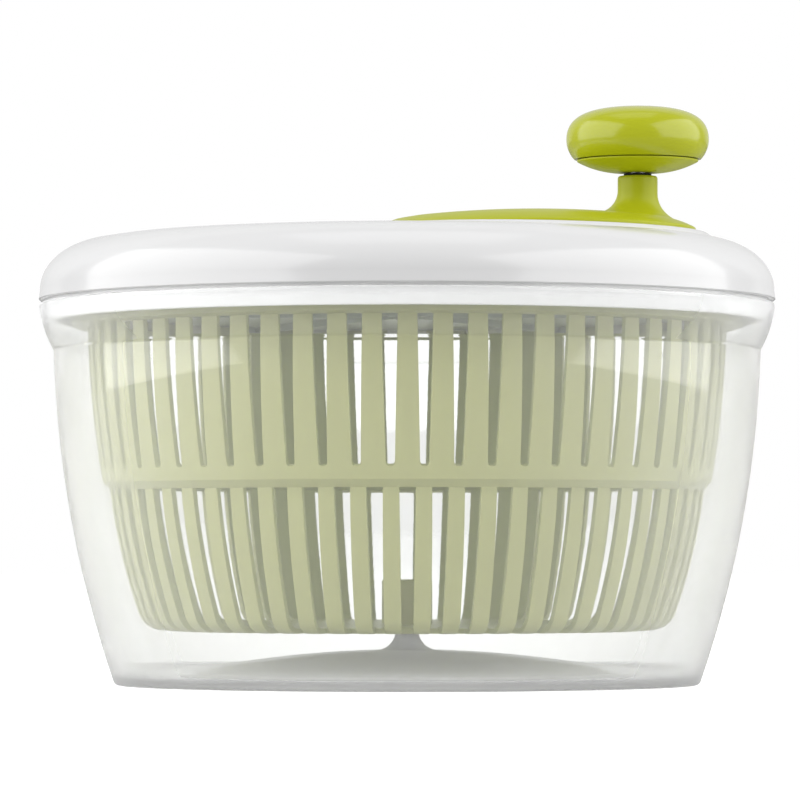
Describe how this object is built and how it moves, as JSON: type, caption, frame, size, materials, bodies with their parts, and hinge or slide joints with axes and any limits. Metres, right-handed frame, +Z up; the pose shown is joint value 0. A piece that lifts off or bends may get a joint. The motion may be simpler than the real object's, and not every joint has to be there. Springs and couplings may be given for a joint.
{
  "type": "salad spinner",
  "caption": "Salad spinner with a clear bowl, a slotted basket turning on a pin, and a domed lid whose crank turns the basket through a gear train.",
  "frame": {"origin": "centre of the bowl's base, on the table", "axes": "+Z up along the basket's axis; +X from the middle towards the crank's axis and the knob; -Y towards the viewer"},
  "size_m": [0.2602, 0.2602, 0.2046],
  "materials": {
    "clear_plastic": "clear, polished",
    "basket_plastic": "clear, lightly frosted",
    "white_plastic": "gloss",
    "green_plastic": "gloss",
    "grey_plastic": "fine satin",
    "gear_plastic": "satin",
    "bearing_plastic": "satin",
    "dark_plastic": "satin",
    "steel": "turned"
  },
  "bodies": {
    "bowl": {"bowl": "clear_plastic"},
    "basket_bearing": {"pivot_sleeve": "bearing_plastic"},
    "basket": {"basket": "basket_plastic"},
    "lid": {"lid_cover": "white_plastic", "gear_cover": "grey_plastic", "cover_screws": "steel", "crank_bush": "bearing_plastic", "pinion_bush": "bearing_plastic", "spindle_bush": "bearing_plastic"},
    "crank": {"crank_disc": "green_plastic", "drive_gear": "gear_plastic", "crank_screw": "steel", "crank_washer": "steel", "knob_spindle": "steel", "knob_washer": "dark_plastic", "knob_clip": "steel"},
    "knob": {"knob_cap": "green_plastic", "knob_base": "green_plastic"},
    "driver": {"pinion": "gear_plastic", "drive_plate": "grey_plastic", "drive_screw": "steel", "drive_washer": "steel"}
  },
  "joints": [
    {"name": "lid_lift", "type": "slide", "parent": "bowl", "child": "lid", "axis": [0, 0, 1], "range_m": [0, 0.28]},
    {"name": "basket_lift", "type": "slide", "parent": "bowl", "child": "basket_bearing", "axis": [0, 0, 1], "range_m": [0, 0.14]},
    {"name": "basket_spin", "type": "hinge", "parent": "basket_bearing", "child": "basket", "pos_m": [0, 0, 0.02], "axis": [0, 0, 1], "continuous": true},
    {"name": "driver_spin", "type": "hinge", "parent": "lid", "child": "driver", "pos_m": [0, 0, 0.14], "axis": [0, 0, 1], "continuous": true},
    {"name": "crank_spin", "type": "hinge", "parent": "lid", "child": "crank", "pos_m": [0.045, 0, 0.15], "axis": [0, 0, 1], "continuous": true},
    {"name": "knob_spin", "type": "hinge", "parent": "crank", "child": "knob", "pos_m": [0.0817, 0, 0.185], "axis": [0, 0, 1], "continuous": true}
  ],
  "couplings": [
    {"joint": "basket_lift", "follows": "lid_lift", "ratio": 0.5},
    {"joint": "driver_spin", "follows": "basket_spin", "ratio": 1},
    {"joint": "crank_spin", "follows": "basket_spin", "ratio": -0.33333}
  ]
}
